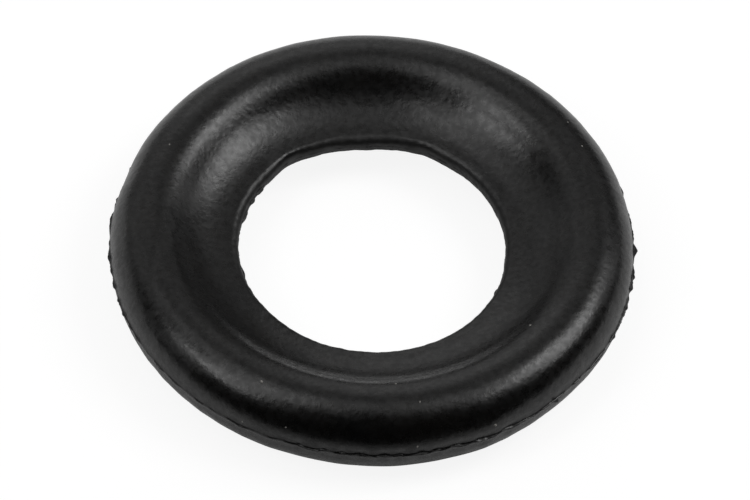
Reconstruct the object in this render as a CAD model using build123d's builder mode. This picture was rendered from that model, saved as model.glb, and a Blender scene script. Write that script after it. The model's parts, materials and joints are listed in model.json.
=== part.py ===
from build123d import *
import os
from math import cos, radians, sin

# Pipe seal: one ring of black rubber, pressed in a two-part mould.
# A round bead runs round the outside. Inside it the faces fall to a crease, and from there a dished
# web thins towards the bore that grips the pipe.
# Millimetres. Z is the axis of the ring, and z = 0 is the parting plane of the mould.

# Bore and the lip round it
bore_diameter = 10.0
lip_thickness = 0.7  # at the bore wall, measured to its sharp corners
lip_radius = 0.12  # rounding of those corners

# Sealing bead
bead_radius = 1.51
bead_circle_diameter = 16.58  # through the crest of the bead

# Inside of the bead, down to the web
flank_angle = 38.0  # slope where the round of the bead ends
flank_length = 0.285  # straight cone from there to the crease
web_angle = 34.0  # slope of the dished web where it leaves the crease

# Flash left where the mould halves met: it parts the two half rounds of the bead
flash_height = 0.06  # stands proud of the bead all the way round
flash_root = 0.2  # thickness where it leaves the bead
flash_edge = 0.07  # thickness at its free edge

# Torn scraps of flash that stand further out: direction in degrees, reach past the bead, width
flash_scraps = (
    (3, 0.19, 0.8),
    (-5, 0.12, 0.7),
    (-13, 0.11, 0.6),
    (-21.5, 0.11, 0.7),
    (-43.5, 0.2, 0.4),
    (-175, 0.12, 0.9),
    (175, 0.08, 1.4),
)

bore_radius = bore_diameter / 2
bead_middle = bead_circle_diameter / 2
bead_edge = bead_middle + bead_radius
flank_run = flank_length * cos(radians(flank_angle))
flank_drop = flank_length * sin(radians(flank_angle))

with BuildPart() as seal_ring:
    # Section of the ring: the half above the parting plane, then its mirror image
    with BuildSketch(Plane.XZ) as section:
        with BuildLine() as outline:
            flash_tip = Line((bead_edge + flash_height, 0), (bead_edge + flash_height, flash_edge / 2))
            flash_face = Line(flash_tip @ 1, (bead_edge, flash_root / 2))
            bead = CenterArc((bead_middle, flash_root / 2), bead_radius, 0, 90 + flank_angle)
            flank = Line(bead @ 1, bead @ 1 - (flank_run, flank_drop))
            dished_web = TangentArc(
                flank @ 1,
                (bore_radius, lip_thickness / 2),
                tangent=(-cos(radians(web_angle)), -sin(radians(web_angle))),
            )
            bore_wall = Line(dished_web @ 1, (bore_radius, 0))
            parting_line = Line(bore_wall @ 1, flash_tip @ 0)
        make_face()
        fillet(section.vertices().sort_by_distance(dished_web @ 1)[0], radius=lip_radius)
        mirror(about=Plane.XZ)
    revolve(axis=Axis.Z)
    # Scraps of flash: thin flat half ovals on the parting plane, rooted in the bead
    with BuildSketch(Plane.XY.offset(-flash_edge / 2)) as scraps:
        for direction, reach, width in flash_scraps:
            with PolarLocations(bead_edge, 1, start_angle=direction):
                Ellipse(reach, width / 2)
    extrude(amount=flash_edge)

seal_ring.part.label = "seal_ring"

os.makedirs("parts", exist_ok=True)
export_step(seal_ring.part, "parts/seal_ring.step")
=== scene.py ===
"""Pipe seal: one ring of black rubber, pressed in a two-part mould, lying on a pale table.

The ring is one surface worked out on a grid: its section, carried round the axis, with the
flash, the trimmed bore edge and the unevenness of the rubber added as small shifts of it.
"""

import json
import math

import bpy
import numpy as np
from mathutils import Matrix, Vector


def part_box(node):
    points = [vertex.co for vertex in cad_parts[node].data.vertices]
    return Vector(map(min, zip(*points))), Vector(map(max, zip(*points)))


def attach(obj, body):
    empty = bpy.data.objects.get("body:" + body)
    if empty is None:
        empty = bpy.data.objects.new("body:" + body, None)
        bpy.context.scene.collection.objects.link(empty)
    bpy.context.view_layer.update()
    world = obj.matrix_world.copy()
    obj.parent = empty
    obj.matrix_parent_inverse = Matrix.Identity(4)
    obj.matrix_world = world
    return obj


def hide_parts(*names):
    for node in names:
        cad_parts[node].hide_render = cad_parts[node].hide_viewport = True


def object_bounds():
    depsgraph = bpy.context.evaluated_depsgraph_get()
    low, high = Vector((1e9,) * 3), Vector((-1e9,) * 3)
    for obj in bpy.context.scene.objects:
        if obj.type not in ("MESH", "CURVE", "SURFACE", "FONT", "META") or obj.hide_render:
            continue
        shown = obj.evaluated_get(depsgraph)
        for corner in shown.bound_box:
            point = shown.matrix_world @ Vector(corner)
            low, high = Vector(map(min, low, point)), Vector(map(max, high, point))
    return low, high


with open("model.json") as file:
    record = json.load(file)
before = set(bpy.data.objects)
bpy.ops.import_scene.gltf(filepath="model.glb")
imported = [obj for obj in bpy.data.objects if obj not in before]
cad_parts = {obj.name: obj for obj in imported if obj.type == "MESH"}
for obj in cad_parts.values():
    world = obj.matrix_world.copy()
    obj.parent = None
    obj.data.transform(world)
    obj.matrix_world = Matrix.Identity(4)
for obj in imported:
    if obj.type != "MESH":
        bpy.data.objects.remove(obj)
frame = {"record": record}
cad_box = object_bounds()

MM = 0.001

# ---------------------------------------------------------------- sizes, in millimetres and degrees

# Directions round the axis are angles from +X towards +Y, and the viewer's side is -Y

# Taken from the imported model: how thick the ring is and what the bore measures
ring_low, ring_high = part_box("seal_ring")
HALF_THICKNESS = (ring_high.z - ring_low.z) / 2 / MM
BORE_MOUNT = next(m for m in frame["record"]["mounts"] if m["name"] == "bore")
BORE_RADIUS = BORE_MOUNT["dims"]["r_mm"]

# Bead: outside its crest it is round, inside the crest a flatter arc runs down to a slope
FLASH_ROOT = 0.2
BEAD_RADIUS = HALF_THICKNESS - FLASH_ROOT / 2
BEAD_CIRCLE_RADIUS = 8.29
BEAD_EDGE = 9.8
BEAD_INNER_RADIUS = 1.65
BEAD_INNER_SLOPE = 24.0

# Crease at the foot of the bead, the slope at which the web meets it, and how far before it the web ends
CREASE_RADIUS = 7.1
CREASE_HEIGHT = 1.11
CREASE_SLOPE = 38.5
CREASE_BLEND = 0.3

# Lip round the bore
LIP_THICKNESS = 0.74
LIP_RADIUS = 0.31

# Flash at the parting plane, outside: mean reach, thickness, how far its tip stands past its edges,
# least and greatest reach, and the shares of its reach at which it has rows of points
FLASH_HEIGHT = 0.045
FLASH_THICKNESS = 0.07
FLASH_FILLET = (FLASH_ROOT - FLASH_THICKNESS) / 2
FLASH_TIP = 0.012
FLASH_LIMITS = (0.008, 0.19)
FLASH_ROWS = (0.12, 0.3, 0.55, 0.8, 1.0)

# Flash in the bore: mean reach, thickness, and least and greatest reach. Its foot is thicker than its
# edge by a factor, and its edge has a share of the reach that its tip has.
BORE_FLASH = 0.008
BORE_FLASH_THICKNESS = 0.06
BORE_FLASH_LIMITS = (0.002, 0.1)
BORE_FLASH_FOOT = 1.8
BORE_FLASH_EDGE = 0.9

# Uneven lines round the ring, each a sum of terms: rms height, longest wave, shortest wave
FLASH_EDGE_WAVES = ((0.018, 4.0, 0.6), (0.006, 0.5, 0.13))
BORE_EDGE_WAVES = ((0.006, 3.0, 0.5), (0.003, 0.4, 0.12))
PARTING_WAVES = ((0.012, 5.0, 0.9), (0.003, 0.8, 0.25))

# The parting line wanders up and down, and takes the bead's outer side with it from this far out
PARTING_START = BEAD_EDGE - 0.35
PARTING_WIDTH = 0.25

# Uneven faces, given the same way, and the trimmed edge of the bore, which is torn over a width
FACE_LUMPS = ((0.0035, 5.0, 1.2), (0.0003, 1.1, 0.45))
TORN_EDGE_LUMPS = ((0.006, 0.9, 0.2),)
TORN_EDGE_WIDTH = 0.5

# Torn flash: direction, reach past the bead, width, and where its point stands, from 0 to 1
FLASH_SCRAPS = (
    (3.2, 0.175, 0.8, 0.5),
    (6.5, 0.07, 0.9, 0.3),
    (11.0, 0.055, 0.6, 0.5),
    (-4.4, 0.125, 0.55, 0.4),
    (-7.5, 0.11, 0.75, 0.3),
    (-13.0, 0.11, 0.6, 0.4),
    (-17.0, 0.07, 0.5, 0.6),
    (-21.4, 0.11, 0.7, 0.65),
    (-29.6, 0.07, 0.6, 0.6),
    (-43.4, 0.19, 0.34, 0.6),
    (-175.0, 0.085, 0.9, 0.5),
    (177.0, 0.07, 1.2, 0.5),
    (169.6, 0.1, 0.5, 0.5),
    (158.5, 0.07, 0.45, 0.5),
    (-86.0, 0.075, 2.4, 0.5),
    (-78.0, 0.065, 1.2, 0.6),
)

# Places where most of the flash is torn away: direction, width, and the share that is gone
FLASH_GAPS = (
    (-33.5, 0.7),
    (-38.5, 1.0),
    (-70.0, 1.2),
    (-97.0, 1.4),
    (-112.0, 4.0),
    (-124.0, 2.5),
    (-133.0, 3.0),
    (-146.0, 2.5),
    (155.0, 0.7),
    (162.5, 0.8),
)
GAP_SHARE = 0.8

# Nicks at the foot of the flash: direction, width, and their depth
FLASH_NICKS = (
    (-104.0, 0.5),
    (-98.4, 0.7),
    (-94.4, 0.6),
    (-90.2, 1.0),
    (-85.0, 0.9),
    (-81.7, 0.8),
    (-76.8, 0.6),
    (-73.6, 1.0),
    (-69.0, 1.4),
    (-63.0, 1.4),
    (-56.7, 1.2),
)
NICK_DEPTH = 0.045

# Torn flash in the bore: direction, reach inwards, width
BORE_SCRAPS = (
    (-163.0, 0.08, 0.7),
    (165.0, 0.12, 0.6),
    (156.0, 0.1, 0.4),
    (149.5, 0.12, 0.5),
    (-21.0, 0.07, 0.4),
    (-5.0, 0.025, 0.4),
    (59.5, 0.03, 0.3),
    (66.0, 0.02, 0.4),
)

# The ring isn't quite round: direction, shift outwards, width along the edge
SWELLINGS = (
    (-40.0, -0.045, 3.6),
    (-62.0, 0.05, 2.0),
    (-81.0, 0.04, 2.6),
    (-103.0, -0.03, 2.0),
    (166.0, -0.075, 2.4),
    (155.0, -0.06, 4.0),
    (137.0, -0.06, 4.5),
    (12.0, -0.03, 4.0),
)

# The same for the bore, where the shift dies out over a width
BORE_SWELLINGS = (
    (-20.0, 0.05, 2.2),
    (-45.0, 0.07, 3.0),
    (-75.0, 0.06, 3.0),
    (-112.0, 0.03, 3.0),
    (129.0, 0.13, 1.5),
    (97.0, -0.12, 2.0),
    (69.0, 0.07, 1.2),
    (45.0, 0.04, 2.4),
    (15.0, 0.03, 2.4),
)
BORE_SWELLING_WIDTH = 0.8

# Bore scraps and swellings run out gently, so their feet are this much wider than the widths given
GENTLE = 1.6

# Specks of dust on the rubber: direction, distance from the axis, size
DUST = (
    (-116.2, 8.67, 0.13),
    (-117.2, 9.78, 0.1),
    (-107.2, 9.66, 0.08),
    (-35.8, 7.43, 0.11),
    (-76.0, 8.62, 0.08),
    (-81.2, 7.54, 0.08),
    (-59.8, 9.79, 0.13),
    (-78.0, 9.79, 0.09),
    (157.2, 8.42, 0.08),
    (37.0, 8.92, 0.08),
    (28.8, 8.77, 0.08),
)

# A speck's section as shares of its half width: distance from its middle and height, then its two
# ends, and how uneven its sides are
SPECK_SECTION = ((1.0, -0.15), (0.72, 0.25), (0.3, 0.38))
SPECK_BOTTOM = -0.2
SPECK_TOP = 0.42
SPECK_SIDES = 10
SPECK_UNEVEN = 0.22

# The ring's grid: columns round its axis, points along each stretch of the half section, and the
# angle from which an edge is shown sharp
COLUMNS = 1040
LIP_POINTS = 7
WEB_POINTS = 9
CREASE_POINTS = 6
INNER_POINTS = 6
OUTER_POINTS = 13
SHARP_ANGLE = 50.0

# Seeds of the random draws
RING_SEED = 41
PARTING_SEED = 43
DUST_SEED = 7

# Rubber: lengths and depths of its grain, pores and patches, and its ranges of roughness and gloss
GRAIN_LENGTH = 0.21
GRAIN_DEPTH = 0.0098
PORE_LENGTH = 0.4 * GRAIN_LENGTH
PORE_DEPTH = 0.0006
MOTTLE_LENGTH = 1.3 * GRAIN_LENGTH
PATCH_LENGTH = 1.6
ROUGHNESS = (0.245, 0.325)
GLOSS = (0.43, 0.57)

# The trimmed bore edge is rougher, and that fades between two distances from the bore
TRIMMED_ROUGHNESS = 0.5
TRIMMED_BAND = (0.1, 0.5)

# Table paper: its shade, the share of its lamp light and shadows that the camera sees, how bright it
# is where the lamps light it fully, and a light of its own for the rubber to reflect
PAPER_WHITE = 0.8
SHADOW_SHARE = 0.22
PAPER_LIGHT = 0.5
PAPER_GLOW = 0.15

# The paper reaches from in front of the ring to far behind it. For all but the camera it carries painted
# shade that darkens it to black towards its near edge. A small gap keeps it clear of the ring's underside.
PAPER_NEAR = -19.0
PAPER_FAR = 200.0
PAPER_SIDE = 150.0
PAPER_FULL = -10.5
PAPER_PAINTED_BLACK = -18.5
PAPER_GAP = 0.003

# Lamps as seen from the ring: the directions and elevations that each bank fills, and its radiance.
# Two bright boxes stand to the left and right, with weaker light round them, above, and low behind.
# A small square lamp hangs almost overhead, and the room itself is nearly dark.
LAMP_BANKS = (
    ("left_box", (180, 220), (39, 53), 3.1),
    ("left_edge", (180, 200), (11, 67), 0.5),
    ("left_top", (170, 230), (53, 81), 1.1),
    ("left_crown", (120, 170), (67, 81), 0.6),
    ("left_wide", (120, 220), (53, 81), 0.5),
    ("left_foot", (140, 180), (-2, 12), 0.5),
    ("right_box", (-10, 30), (35, 63), 3.6),
    ("right_side", (10, 40), (39, 53), 1.3),
    ("right_edge", (20, 40), (11, 67), 0.7),
    ("right_top", (-40, 40), (53, 81), 0.5),
    ("back_box", (80, 180), (39, 53), 0.2),
    ("back_foot", (80, 160), (-2, 39), 0.3),
    ("back_low", (80, 120), (11, 39), 0.2),
    ("back_wide", (0, 160), (25, 81), 0.2),
    ("back_side", (30, 110), (-2, 50), 0.1),
)
CEILING_ELEVATION = 89
CEILING_WIDTH = 14
CEILING_RADIANCE = 0.5
LAMP_DISTANCE = 350.0
WIDEST_LAMP = 30.0
ROOM_LIGHT = 0.003

# The camera looks down on the ring from the front, from far off and through a very long lens. It is
# level but for a slight roll. The bead's radius fills a given share of the width of its view.
CAMERA_ELEVATION = 51.5
CAMERA_ROLL = 2.8
CAMERA_DISTANCE = 80 * BEAD_EDGE
SENSOR = 36.0
VIEW_SHARE = 0.34907
LENS_SHIFT = (0.00424, -0.00101)

# ---------------------------------------------------------------- small tools


def srgb(code):
    """A colour written as sRGB hex, turned to linear RGBA."""
    value = np.array([int(code[i:i + 2], 16) for i in (1, 3, 5)]) / 255
    linear = np.where(value <= 0.04045, value / 12.92, ((value + 0.055) / 1.055) ** 2.4)
    return (*linear.tolist(), 1.0)


def node(tree, kind, settings=(), **links):
    """Adds a node. settings are its attributes or sockets, and links are the outputs that feed it.

    A link's name is its input's, with _ for a space, or _ and the input's number.
    """
    made = tree.nodes.new(kind)
    for name, value in dict(settings).items():
        if isinstance(name, str) and hasattr(made, name):
            setattr(made, name, value)
        else:
            made.inputs[name].default_value = value
    for name, source in links.items():
        key = int(name[1:]) if name[1:].isdigit() else name.replace("_", " ")
        tree.links.new(source, made.inputs[key])
    return made


def put_in_scene(name, data):
    """An object that shows the data, in the scene's own collection."""
    made = bpy.data.objects.new(name, data)
    bpy.context.collection.objects.link(made)
    return made


def arc(centre, radius, start, end, count):
    """Points on a circle about the centre, from the start angle to the end angle, in degrees."""
    angle = np.radians(np.linspace(start, end, count))
    return np.stack([centre[0] + radius * np.cos(angle), centre[1] + radius * np.sin(angle)], 1)


def turn_from(angle, direction):
    """How far each angle is past a direction given in degrees, from -pi to pi."""
    return (angle - math.radians(direction) + math.pi) % (2 * math.pi) - math.pi


def bell(angle, direction, width, radius):
    """A smooth hump of height 1 about a direction: half a cosine wave, width mm wide at the radius."""
    off = np.abs(turn_from(angle, direction)) / (width / 2 / radius)
    return np.where(off < 1, 0.5 + 0.5 * np.cos(np.pi * off), 0.0)


def scrap(angle, direction, width, lean, radius):
    """A torn point of height 1: it rises from one foot to the point at share lean, and falls to the other."""
    along = turn_from(angle, direction) * radius / width + lean
    return np.clip(np.minimum(along / lean, (1 - along) / (1 - lean)), 0, 1)


def swelling(angle, places, radius):
    """How far a rim is shifted outwards: gentle bells of the given heights about their directions, added."""
    return sum(shift * bell(angle, direction, width * GENTLE, radius) for direction, shift, width in places)


def ragged(angle, rng, radius, terms, waves=70):
    """An uneven line round the ring: for each term, waves of whole number round the circle, added up.

    A term's waves have random numbers between those of its longest and its shortest wave, and
    random phases. Their sum is divided by its own rms, the root of half their count.
    """
    turns = 2 * math.pi * radius
    line = np.zeros(len(angle))
    for height, longest, shortest in terms:
        number = rng.integers(int(turns / longest), int(turns / shortest), waves)
        phase = rng.uniform(0, 2 * math.pi, waves)
        line += height * np.sin(np.outer(angle, number) + phase).sum(1) / math.sqrt(waves / 2)
    return line


def lumps(points, rng, terms, waves=60):
    """Random relief at points of space: for each term, plane waves of random heading and phase, added up."""
    relief = np.zeros(points.shape[:-1])
    for height, longest, shortest in terms:
        length = np.exp(rng.uniform(math.log(shortest), math.log(longest), waves))
        heading = rng.standard_normal((waves, 3))
        heading *= (2 * math.pi / length / np.linalg.norm(heading, axis=1))[:, None]
        phase = rng.uniform(0, 2 * math.pi, waves)
        relief += height * np.sin(points @ heading.T + phase).sum(-1) / math.sqrt(waves / 2)
    return relief


# ---------------------------------------------------------------- section of the ring


def web_arc():
    """Centre, radius, and slope at the crease of the arc that the dished web follows.

    The arc ends in the crease at the foot of the bead and at the sharp corner of the lip. A
    chord's slope is the mean of the slopes at its ends, which gives the slope at the lip.
    """
    slope = math.radians(CREASE_SLOPE)
    crease = np.array([CREASE_RADIUS, CREASE_HEIGHT])
    corner = np.array([BORE_RADIUS, LIP_THICKNESS / 2])
    chord = crease - corner
    lip_slope = 2 * math.atan2(chord[1], chord[0]) - slope
    radius = np.linalg.norm(chord) / 2 / math.sin((slope - lip_slope) / 2)
    centre = corner + radius * np.array([-math.sin(lip_slope), math.cos(lip_slope)])
    return centre, radius, slope


def blend(first, first_slope, last, last_slope, count):
    """Points between two others on the cubic that leaves the first and meets the last at their slopes."""
    share = np.linspace(0, 1, count + 2)[1:-1, None]
    span = np.linalg.norm(last - first)
    leave, meet = (span * np.array([math.cos(slope), math.sin(slope)]) for slope in (first_slope, last_slope))
    return (
        (2 * share ** 3 - 3 * share ** 2 + 1) * first + (share ** 3 - 2 * share ** 2 + share) * leave
        + (3 * share ** 2 - 2 * share ** 3) * last + (share ** 3 - share ** 2) * meet
    )


def half_section():
    """The upper half of the section without flash, from the bore's parting line to the bead's.

    Bore wall, round of the lip, dished web, softened crease, inner side of the bead, and its
    outer round. The lip's round touches the wall and the web, so its centre lies its own radius
    from both. The wall's points are the tip, the edge and the foot of the flash in the bore.
    """
    web_centre, web_radius, web_slope = web_arc()
    lip_r = BORE_RADIUS + LIP_RADIUS
    lip_z = web_centre[1] - math.sqrt((web_radius + LIP_RADIUS) ** 2 - (lip_r - web_centre[0]) ** 2)
    touch = math.atan2(lip_r - web_centre[0], web_centre[1] - lip_z)
    flash_half = BORE_FLASH_THICKNESS / 2
    wall = np.array([[BORE_RADIUS, z] for z in (0, flash_half, flash_half * BORE_FLASH_FOOT)])
    lip = arc((lip_r, lip_z), LIP_RADIUS, 180, 90 + math.degrees(touch), LIP_POINTS)
    web_end = web_slope - CREASE_BLEND / web_radius
    web = arc(web_centre, web_radius, math.degrees(touch) - 90, math.degrees(web_end) - 90, WEB_POINTS)[1:]
    inner_centre = (BEAD_CIRCLE_RADIUS, FLASH_ROOT / 2 + BEAD_RADIUS - BEAD_INNER_RADIUS)
    inner = arc(inner_centre, BEAD_INNER_RADIUS, 90 + BEAD_INNER_SLOPE, 90, INNER_POINTS)[:-1]
    outer = arc((BEAD_CIRCLE_RADIUS, FLASH_ROOT / 2), BEAD_RADIUS, 90, 0, OUTER_POINTS)
    crease = blend(web[-1], web_end, inner[0], math.radians(BEAD_INNER_SLOPE), CREASE_POINTS)
    return np.concatenate([wall, lip, web, crease, inner, outer])


def normals_of(line):
    """Unit normals of a line in (r, z), to the left of its direction."""
    along = np.gradient(line, axis=0)
    return np.stack([-along[:, 1], along[:, 0]], 1) / np.linalg.norm(along, axis=1)[:, None]


# ---------------------------------------------------------------- flash


def flash_reach(angle, rng):
    """How far the flash stands out at each angle: an uneven line, raised by scraps and lowered in gaps."""
    reach = FLASH_HEIGHT + ragged(angle, rng, BEAD_EDGE, FLASH_EDGE_WAVES)
    for direction, height, width, lean in FLASH_SCRAPS:
        reach = np.maximum(reach, height * scrap(angle, direction, width, lean, BEAD_EDGE))
    for direction, width in FLASH_GAPS:
        reach *= 1 - GAP_SHARE * bell(angle, direction, width, BEAD_EDGE)
    return np.clip(reach, *FLASH_LIMITS)


def bore_flash_reach(angle, rng):
    """How far the flash stands into the bore at each angle: an uneven line, raised by scraps."""
    reach = BORE_FLASH + ragged(angle, rng, BORE_RADIUS, BORE_EDGE_WAVES)
    for direction, height, width in BORE_SCRAPS:
        reach = np.maximum(reach, height * bell(angle, direction, width * GENTLE, BORE_RADIUS))
    return np.clip(reach, *BORE_FLASH_LIMITS)


def flash_line(reach):
    """Upper half of the flash for each reach: a hollow round from the bead, a flat, and the torn edge.

    Out to the fillet's radius the height over the parting plane follows the hollow circle, and
    beyond it the flash has its own half thickness. Returns (r, z) for every angle and row.
    """
    out = reach[:, None] * FLASH_ROWS
    inside = np.clip(FLASH_FILLET - out, 0, None)
    top = FLASH_THICKNESS / 2 + FLASH_FILLET - np.sqrt(FLASH_FILLET ** 2 - inside ** 2)
    tip = np.stack([reach + FLASH_TIP, np.zeros_like(reach)], 1)[:, None]
    return np.concatenate([np.stack([out, top], 2), tip], 1) + (BEAD_EDGE, 0)


# ---------------------------------------------------------------- surface of the ring


def around(angle, loop):
    """Points (x, y, z) from (r, z) at each angle."""
    heading = np.stack([np.cos(angle), np.sin(angle)], 1)[:, None]
    return np.concatenate([loop[..., :1] * heading, loop[..., 1:]], 2)


def plain_loops(angle, rng):
    """The ring's section at each angle, with its flash, and the section's outward normals.

    The upper half is the bare section with the bore's flash drawn out of its first points, the
    bead's flash added at its end, and the nicks cut at the foot of that. The lower half is its
    mirror image. The flash's normals point straight out.
    """
    reach = flash_reach(angle, rng)
    inwards = bore_flash_reach(angle, rng)
    half = half_section()
    upper = np.repeat(half[None], len(angle), 0)
    upper[:, :2, 0] -= inwards[:, None] * (1.0, BORE_FLASH_EDGE)
    upper = np.concatenate([upper, flash_line(reach)], 1)
    nick = sum(bell(angle, direction, width, BEAD_EDGE) for direction, width in FLASH_NICKS)
    foot = len(half) - 1
    upper[:, foot:foot + 3, 0] -= NICK_DEPTH * nick[:, None]
    lower = upper[:, -2:0:-1] * (1, -1)

    straight_out = np.tile([[1.0, 0.0]], (upper.shape[1] - len(half), 1))
    bare = np.concatenate([normals_of(half), straight_out])
    return np.concatenate([upper, lower], 1), np.concatenate([bare, bare[-2:0:-1] * (1, -1)])


def ring_points():
    """The ring's surface in mm, as columns round its axis and rows round its section.

    The plain section is shifted along its normals by the unevenness of the faces and by the torn
    edge of the bore, which fades outwards. Then the parting line wanders up and down, and the
    bead and the bore swell in and out by shares that fade to none at the crest and in the web.
    """
    rng = np.random.default_rng(RING_SEED)
    angle = np.linspace(0, 2 * math.pi, COLUMNS, endpoint=False)
    loop, normal = plain_loops(angle, rng)

    points = around(angle, loop)
    torn = np.clip(1 - (loop[..., 0] - BORE_RADIUS) / TORN_EDGE_WIDTH, 0, 1)
    relief = lumps(points, rng, FACE_LUMPS) + torn * lumps(points, rng, TORN_EDGE_LUMPS)
    loop += relief[..., None] * normal

    wander = ragged(angle, np.random.default_rng(PARTING_SEED), BEAD_EDGE, PARTING_WAVES)
    loop[..., 1] += np.clip((loop[..., 0] - PARTING_START) / PARTING_WIDTH, 0, 1) * wander[:, None]

    share = np.clip((loop[..., 0] - BEAD_CIRCLE_RADIUS) / BEAD_RADIUS, 0, 1)
    loop[..., 0] += swelling(angle, SWELLINGS, BEAD_EDGE)[:, None] * share
    share = np.clip(1 - (loop[..., 0] - BORE_RADIUS) / BORE_SWELLING_WIDTH, 0, 1) ** 2
    loop[..., 0] += swelling(angle, BORE_SWELLINGS, BORE_RADIUS)[:, None] * share
    loop[..., 1] = np.clip(loop[..., 1], -HALF_THICKNESS, HALF_THICKNESS)
    return np.clip(around(angle, loop), np.array(cad_box[0]) / MM, np.array(cad_box[1]) / MM)


def closed_grid(name, points):
    """A smooth mesh from points whose rows and columns both run round to their start."""
    columns, rows = points.shape[:2]
    here = np.arange(columns * rows).reshape(columns, rows)
    on = np.roll(here, -1, 0)
    quads = np.stack([here, on, np.roll(on, -1, 1), np.roll(here, -1, 1)], -1).reshape(-1, 4)
    mesh = bpy.data.meshes.new(name)
    mesh.vertices.add(columns * rows)
    mesh.vertices.foreach_set("co", (points * MM).ravel())
    mesh.loops.add(quads.size)
    mesh.loops.foreach_set("vertex_index", quads.ravel())
    mesh.polygons.add(len(quads))
    mesh.polygons.foreach_set("loop_start", np.arange(0, quads.size, 4))
    mesh.update(calc_edges=True)
    mesh.shade_smooth()
    mesh.set_sharp_from_angle(angle=math.radians(SHARP_ANGLE))
    return put_in_scene(name, mesh)


# ---------------------------------------------------------------- dust


def on_upper_face(points, direction, distance):
    """A point of the ring's upper face, in mm, between the rows of the nearest column."""
    column = points[round(direction / 360 * COLUMNS) % COLUMNS][:len(half_section())]
    away = np.hypot(column[:, 0], column[:, 1])
    row = np.interp(distance, np.maximum.accumulate(away), np.arange(len(away)))
    return np.array([np.interp(row, np.arange(len(away)), column[:, axis]) for axis in range(3)])


def speck_axes(points, direction, distance):
    """Where specks lie on the ring, and their axes: away from the ring's axis, sideways, and off the face.

    The first axis runs up the face's slope, from a point a small step nearer the ring's axis.
    """
    step = 0.05
    base = np.array([on_upper_face(points, *place) for place in zip(direction, distance)])
    nearer = np.array([on_upper_face(points, *place) for place in zip(direction, distance - step)])
    along = base - nearer
    along /= np.linalg.norm(along, axis=1)[:, None]
    heading = np.radians(direction)
    sideways = np.stack([-np.sin(heading), np.cos(heading), 0 * heading], 1)
    return base, np.stack([along, sideways, np.cross(along, sideways)], 1)


def flakes(name, specks, ring_surface):
    """Dust as one mesh: each speck a low irregular lens, laid on the upper face and sunk a little into it.

    A speck is its section turned about its own axis in a few sides, each drawn in or out at
    random, and closed by a point below and a point above. None stands over the ring's top.
    """
    rng = np.random.default_rng(DUST_SEED)
    direction, distance, size = np.array(specks).T
    count, rings = len(specks), len(SPECK_SECTION)
    out, lift = np.array(SPECK_SECTION).T
    turn = np.linspace(0, 2 * math.pi, SPECK_SIDES, endpoint=False)
    across = np.stack([np.cos(turn), np.sin(turn)], 1)
    uneven = 1 + SPECK_UNEVEN * rng.standard_normal((count, 1, SPECK_SIDES))
    half_size = size[:, None, None, None] / 2
    flat = half_size * out[:, None, None] * uneven[..., None] * across
    tall = np.broadcast_to(half_size * lift[:, None, None], (count, rings, SPECK_SIDES, 1))
    rim = np.concatenate([flat, tall], 3).reshape(count, rings * SPECK_SIDES, 3)
    ends = np.zeros((count, 2, 3))
    ends[:, :, 2] = size[:, None] / 2 * (SPECK_BOTTOM, SPECK_TOP)
    base, axes = speck_axes(ring_surface, direction, distance)
    points = base[:, None] + np.concatenate([rim, ends], 1) @ axes
    points[..., 2] = np.minimum(points[..., 2], HALF_THICKNESS)

    one = np.arange(rings * SPECK_SIDES).reshape(rings, SPECK_SIDES)
    on = np.roll(one, -1, 1)
    under, over = np.full(SPECK_SIDES, one.size), np.full(SPECK_SIDES, one.size + 1)
    walls = np.stack([one[:-1], on[:-1], on[1:], one[1:]], -1).reshape(-1, 4)
    floor_fan = np.stack([under, on[0], one[0]], 1)
    roof_fan = np.stack([over, one[-1], on[-1]], 1)
    start = np.arange(count)[:, None, None] * (one.size + 2)
    faces = []
    for part in (walls, floor_fan, roof_fan):
        faces += (part + start).reshape(-1, part.shape[1]).tolist()
    mesh = bpy.data.meshes.new(name)
    mesh.from_pydata((points.reshape(-1, 3) * MM).tolist(), [], faces)
    mesh.shade_smooth()
    return put_in_scene(name, mesh)


# ---------------------------------------------------------------- materials


def new_material(name):
    """An empty node material and its tree, ready for a surface."""
    made = bpy.data.materials.new(name)
    made.use_nodes = True
    made.node_tree.nodes.clear()
    return made, made.node_tree


def grain(tree, place, length, detail=2.0):
    """Noise whose lumps are about length mm across, from 0 to 1."""
    settings = {"Scale": 1 / (length * MM), "Detail": detail, "Roughness": 0.5}
    return node(tree, "ShaderNodeTexNoise", settings, Vector=place).outputs["Fac"]


def spread(tree, value, low, high):
    """A noise value's middle range, 0.35 to 0.65, spread from low to high."""
    settings = {"From Min": 0.35, "From Max": 0.65, "To Min": low, "To Max": high}
    return node(tree, "ShaderNodeMapRange", settings, Value=value).outputs["Result"]


def trimmed_edge(tree, place):
    """Roughness of the trimmed bore edge: its full value at the edge, fading to none over a band.

    A point's distance from the ring's axis is the length of its place with the height left out.
    """
    flat = node(tree, "ShaderNodeVectorMath", {"operation": "MULTIPLY", 1: (1.0, 1.0, 0.0)}, _0=place)
    distance = node(tree, "ShaderNodeVectorMath", {"operation": "LENGTH"}, _0=flat.outputs["Vector"])
    start, end = (BORE_RADIUS + width for width in TRIMMED_BAND)
    settings = {"From Min": start * MM, "From Max": end * MM, "To Min": TRIMMED_ROUGHNESS, "To Max": 0.0}
    return node(tree, "ShaderNodeMapRange", settings, Value=distance.outputs["Value"]).outputs["Result"]


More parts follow.
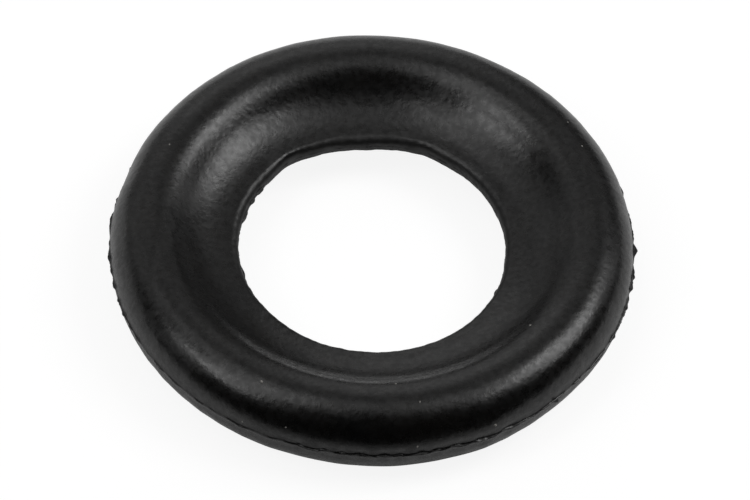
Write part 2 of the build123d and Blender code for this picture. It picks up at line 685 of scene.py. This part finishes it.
def black_rubber():
    """Nitrile rubber full of carbon black, as it leaves an etched mould.

    Nearly black, with the soft gloss of bare rubber. The fine skin is grain about a fifth of a
    millimetre across and a hundredth deep, with finer pores on it. Handling leaves faint cloudy
    patches, a little browner, and small ones that are a little duller. The trimmed edge of the
    bore is the dullest.
    """
    made, tree = new_material("black_rubber")
    place = node(tree, "ShaderNodeTexCoord").outputs["Object"]
    patch = grain(tree, place, PATCH_LENGTH, 3.0)
    skin = grain(tree, place, GRAIN_LENGTH)
    pores = grain(tree, place, PORE_LENGTH, 1.0)
    mottle = grain(tree, place, MOTTLE_LENGTH)

    shades = {"data_type": "RGBA", 6: srgb("#080808"), 7: srgb("#0e0d0c")}
    colour = node(tree, "ShaderNodeMix", shades, _0=spread(tree, patch, 0, 1)).outputs[2]
    rough = node(
        tree, "ShaderNodeMath", {"operation": "MAXIMUM"},
        _0=spread(tree, mottle, *ROUGHNESS), _1=trimmed_edge(tree, place),
    ).outputs["Value"]
    fine = node(tree, "ShaderNodeBump", {"Strength": 1.0, "Distance": PORE_DEPTH * MM}, Height=pores)
    relief = node(
        tree, "ShaderNodeBump", {"Strength": 1.0, "Distance": GRAIN_DEPTH * MM},
        Height=skin, Normal=fine.outputs["Normal"],
    ).outputs["Normal"]
    rubber = node(
        tree, "ShaderNodeBsdfPrincipled", {"IOR": 1.5},
        Base_Color=colour, Roughness=rough, Specular_IOR_Level=spread(tree, skin, *GLOSS), Normal=relief,
    ).outputs["BSDF"]
    node(tree, "ShaderNodeOutputMaterial", Surface=rubber)
    return made


def pale_dust():
    """Lint and mould talc: pale grey, quite dull."""
    made, tree = new_material("pale_dust")
    settings = {"Base Color": srgb("#8c8a86"), "Roughness": 0.9}
    dull = node(tree, "ShaderNodeBsdfPrincipled", settings).outputs["BSDF"]
    node(tree, "ShaderNodeOutputMaterial", Surface=dull)
    return made


def matt(tree, level):
    """A matt grey surface of the given level."""
    return node(tree, "ShaderNodeBsdfDiffuse", {"Color": (level, level, level, 1.0)}).outputs["BSDF"]


def white_paper():
    """The table's paper: plain white, shown to the camera evenly lit but for part of its shadows.

    To the lamps and to the rubber it is matt white with a little light of its own, and painted shade
    darkens it to black towards its near edge, where the table ends and the front of the room is dark.
    """
    made, tree = new_material("white_paper")
    glow = node(tree, "ShaderNodeEmission", {"Strength": PAPER_GLOW}).outputs["Emission"]
    lit = node(tree, "ShaderNodeAddShader", _0=matt(tree, PAPER_WHITE), _1=glow).outputs["Shader"]
    place = node(tree, "ShaderNodeTexCoord").outputs["Object"]
    # Painted shade: for all but the camera the paper is mixed to black matt towards its near edge
    depth = node(tree, "ShaderNodeSeparateXYZ", Vector=place).outputs["Y"]
    settings = {"From Min": PAPER_PAINTED_BLACK * MM, "From Max": PAPER_FULL * MM, "To Min": 0.0, "To Max": 1.0}
    share = node(tree, "ShaderNodeMapRange", settings, Value=depth).outputs["Result"]
    painted_front_shade = node(tree, "ShaderNodeMixShader", _0=share, _1=matt(tree, 0.0), _2=lit).outputs["Shader"]

    even = node(tree, "ShaderNodeEmission", {"Strength": 1 - PAPER_LIGHT * SHADOW_SHARE}).outputs["Emission"]
    shaded = matt(tree, PAPER_WHITE * SHADOW_SHARE)
    seen = node(tree, "ShaderNodeAddShader", _0=shaded, _1=even).outputs["Shader"]
    camera = node(tree, "ShaderNodeLightPath").outputs["Is Camera Ray"]
    paper = node(tree, "ShaderNodeMixShader", _0=camera, _1=painted_front_shade, _2=seen).outputs["Shader"]
    node(tree, "ShaderNodeOutputMaterial", Surface=paper)
    return made


# ---------------------------------------------------------------- table, lamps and room


def table_paper():
    """A flat sheet just under the ring's lowest points."""
    height = ring_low.z / MM - PAPER_GAP
    corners = [
        (-PAPER_SIDE, PAPER_NEAR, height),
        (PAPER_SIDE, PAPER_NEAR, height),
        (PAPER_SIDE, PAPER_FAR, height),
        (-PAPER_SIDE, PAPER_FAR, height),
    ]
    mesh = bpy.data.meshes.new("table_paper")
    mesh.from_pydata([tuple(v * MM for v in corner) for corner in corners], [], [(0, 1, 2, 3)])
    return put_in_scene("table_paper", mesh)


def soft_box(name, azimuth, elevation, width, height, radiance):
    """A rectangular lamp that faces the ring, with its place and size in degrees as seen from the ring.

    A lamp of even radiance L and area A gives pi A L watts.
    """
    lamp = bpy.data.lights.new(name, "AREA")
    lamp.shape = "RECTANGLE"
    lamp.size = 2 * LAMP_DISTANCE * MM * math.tan(math.radians(width) / 2)
    lamp.size_y = 2 * LAMP_DISTANCE * MM * math.tan(math.radians(height) / 2)
    lamp.energy = math.pi * lamp.size * lamp.size_y * radiance
    turn, rise = math.radians(azimuth), math.radians(elevation)
    towards = Vector((math.cos(turn) * math.cos(rise), math.sin(turn) * math.cos(rise), math.sin(rise)))
    made = put_in_scene(name, lamp)
    made.location = towards * LAMP_DISTANCE * MM
    made.rotation_euler = towards.to_track_quat("Z", "Y").to_euler()
    made.visible_camera = False


def lamp_bank(name, azimuths, elevations, radiance):
    """Soft boxes side by side that fill a part of the sky evenly, given by its azimuths and elevations."""
    elevation = sum(elevations) / 2
    width = (azimuths[1] - azimuths[0]) * math.cos(math.radians(elevation))
    count = math.ceil(width / WIDEST_LAMP)
    for k in range(count):
        azimuth = azimuths[0] + (azimuths[1] - azimuths[0]) * (k + 0.5) / count
        soft_box(f"{name}_{k}", azimuth, elevation, width / count, elevations[1] - elevations[0], radiance)


def plain_world():
    """A room that is nearly dark, and a white backdrop that only the camera sees."""
    world = bpy.data.worlds.new("plain_world")
    world.use_nodes = True
    tree = world.node_tree
    tree.nodes.clear()
    dark, white = (
        node(tree, "ShaderNodeBackground", {"Color": (level, level, level, 1.0)}).outputs["Background"]
        for level in (ROOM_LIGHT, 1.0)
    )
    camera = node(tree, "ShaderNodeLightPath").outputs["Is Camera Ray"]
    shown = node(tree, "ShaderNodeMixShader", _0=camera, _1=dark, _2=white).outputs["Shader"]
    node(tree, "ShaderNodeOutputWorld", Surface=shown)
    return world


def front_camera():
    """A camera that stands back from the ring at its elevation, turned to it and rolled a little.

    Its focal length is the sensor's width times the share of it that the bead's radius fills, times
    the distance, over that radius.
    """
    lens = bpy.data.cameras.new("camera")
    lens.sensor_width = SENSOR
    lens.lens = VIEW_SHARE * SENSOR * CAMERA_DISTANCE / BEAD_EDGE
    lens.shift_x, lens.shift_y = LENS_SHIFT
    lens.clip_start = 0.01
    lens.clip_end = 10.0
    made = put_in_scene("camera", lens)
    down = math.radians(CAMERA_ELEVATION)
    stand = Vector((0, -math.cos(down), math.sin(down))) * CAMERA_DISTANCE * MM
    tip = Matrix.Rotation(math.radians(90 - CAMERA_ELEVATION), 4, "X")
    made.matrix_world = Matrix.Translation(stand) @ tip @ Matrix.Rotation(math.radians(CAMERA_ROLL), 4, "Z")
    return made


# ---------------------------------------------------------------- the scene

surface = ring_points()
ring = closed_grid("rubber_ring", surface)
dust = flakes("dust_specks", DUST, surface)
ring.data.materials.append(black_rubber())
dust.data.materials.append(pale_dust())
for piece in (ring, dust):
    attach(piece, "root")
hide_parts("seal_ring")

paper = table_paper()
paper.data.materials.append(white_paper())

for bank in LAMP_BANKS:
    lamp_bank(*bank)
soft_box("ceiling", 0, CEILING_ELEVATION, CEILING_WIDTH, CEILING_WIDTH, CEILING_RADIANCE)

scene = bpy.context.scene
scene.world = plain_world()
scene.camera = front_camera()
scene.view_settings.view_transform = "Standard"
